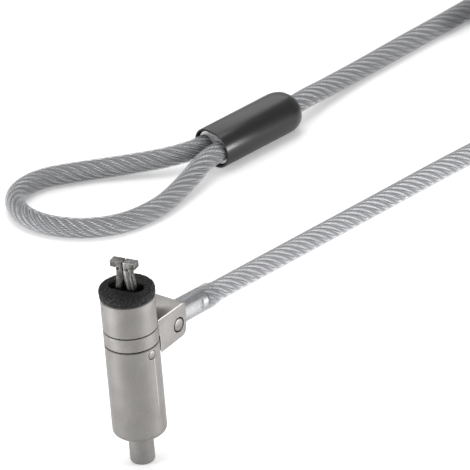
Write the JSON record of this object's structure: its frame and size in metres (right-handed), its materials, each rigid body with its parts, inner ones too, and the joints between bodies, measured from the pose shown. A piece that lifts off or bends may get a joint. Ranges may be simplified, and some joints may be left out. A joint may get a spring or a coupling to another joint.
{
  "type": "laptop cable lock",
  "caption": "Slim keyed laptop lock with a two-hook T-bar, foam washer, spring plunger and swivelling clevis, on a clear-coated steel cable with a crimped end loop.",
  "frame": {"origin": "centre of the plunger's end face, which the lock stands on", "axes": "+Z along the lock's axis from the plunger to the T-bar, +X the way the clevis and its cable point at rest, +Y along the clevis rivet"},
  "size_m": [0.2525, 0.1162, 0.0479],
  "materials": {
    "satin_nickel": "satin nickel plating",
    "hook_steel": "hardened, bead blasted",
    "bright_steel": "machined, zinc plated",
    "spring_steel": "drawn wire",
    "brass": "turned",
    "foam_rubber": "closed-cell foam",
    "clear_tube": "clear shrink tube",
    "coated_rope": "galvanised steel rope in clear vinyl",
    "aluminium": "swaged",
    "black_sleeve": "gloss",
    "strap": "woven strap"
  },
  "bodies": {
    "barrel": {"lower_housing": "satin_nickel", "head_cap": "satin_nickel", "housing_pin": "satin_nickel", "foam_washer": "foam_rubber", "plunger_bush": "brass", "hook_pin_left": "hook_steel", "hook_pin_right": "hook_steel", "return_spring": "spring_steel"},
    "plunger": {"plunger_barrel": "satin_nickel", "spreader": "bright_steel", "spreader_pin": "bright_steel", "tumbler_block": "brass"},
    "key": {"key_spindle": "bright_steel"},
    "hook_l": {"hook_left": "hook_steel"},
    "hook_r": {"hook_right": "hook_steel"},
    "swivel": {"swivel_ring": "satin_nickel", "clevis_rivet": "satin_nickel"},
    "cable": {"cable_terminal": "bright_steel", "terminal_sleeve": "clear_tube", "cable_lead": "coated_rope", "cable_coil": "coated_rope", "cable_return": "coated_rope", "loop_ferrule": "aluminium", "ferrule_sleeve": "black_sleeve", "cable_loop": "coated_rope", "coil_tie_1": "strap", "coil_tie_2": "strap"}
  },
  "joints": [
    {"name": "plunger_slide", "type": "slide", "parent": "barrel", "child": "plunger", "axis": [0, 0, 1], "range_m": [0, 0.004], "stiffness_N_per_m": 400, "springref_m": -0.006, "deforming": ["return_spring"]},
    {"name": "key_turn", "type": "hinge", "parent": "plunger", "child": "key", "pos_m": [0, 0, 0.003], "axis": [0, 0, 1], "range_deg": [0, 90]},
    {"name": "hook_left_spread", "type": "hinge", "parent": "barrel", "child": "hook_l", "pos_m": [-0.00042, 0.00216, 0.034], "axis": [-0.9816, -0.1908, 0], "range_deg": [0, 8.2]},
    {"name": "hook_right_spread", "type": "hinge", "parent": "barrel", "child": "hook_r", "pos_m": [0.00042, -0.00216, 0.034], "axis": [0.9816, 0.1908, 0], "range_deg": [0, 8.2]},
    {"name": "ring_swivel", "type": "hinge", "parent": "barrel", "child": "swivel", "pos_m": [0, 0, 0.0304], "axis": [0, 0, 1], "continuous": true},
    {"name": "cable_pivot", "type": "hinge", "parent": "swivel", "child": "cable", "pos_m": [0.01065, 0, 0.0283], "axis": [0, 1, 0], "range_deg": [-6, 80]}
  ],
  "couplings": [
    {"joint": "hook_left_spread", "follows": "plunger_slide", "rad_per_m": 34.9},
    {"joint": "hook_right_spread", "follows": "plunger_slide", "rad_per_m": 34.9}
  ]
}
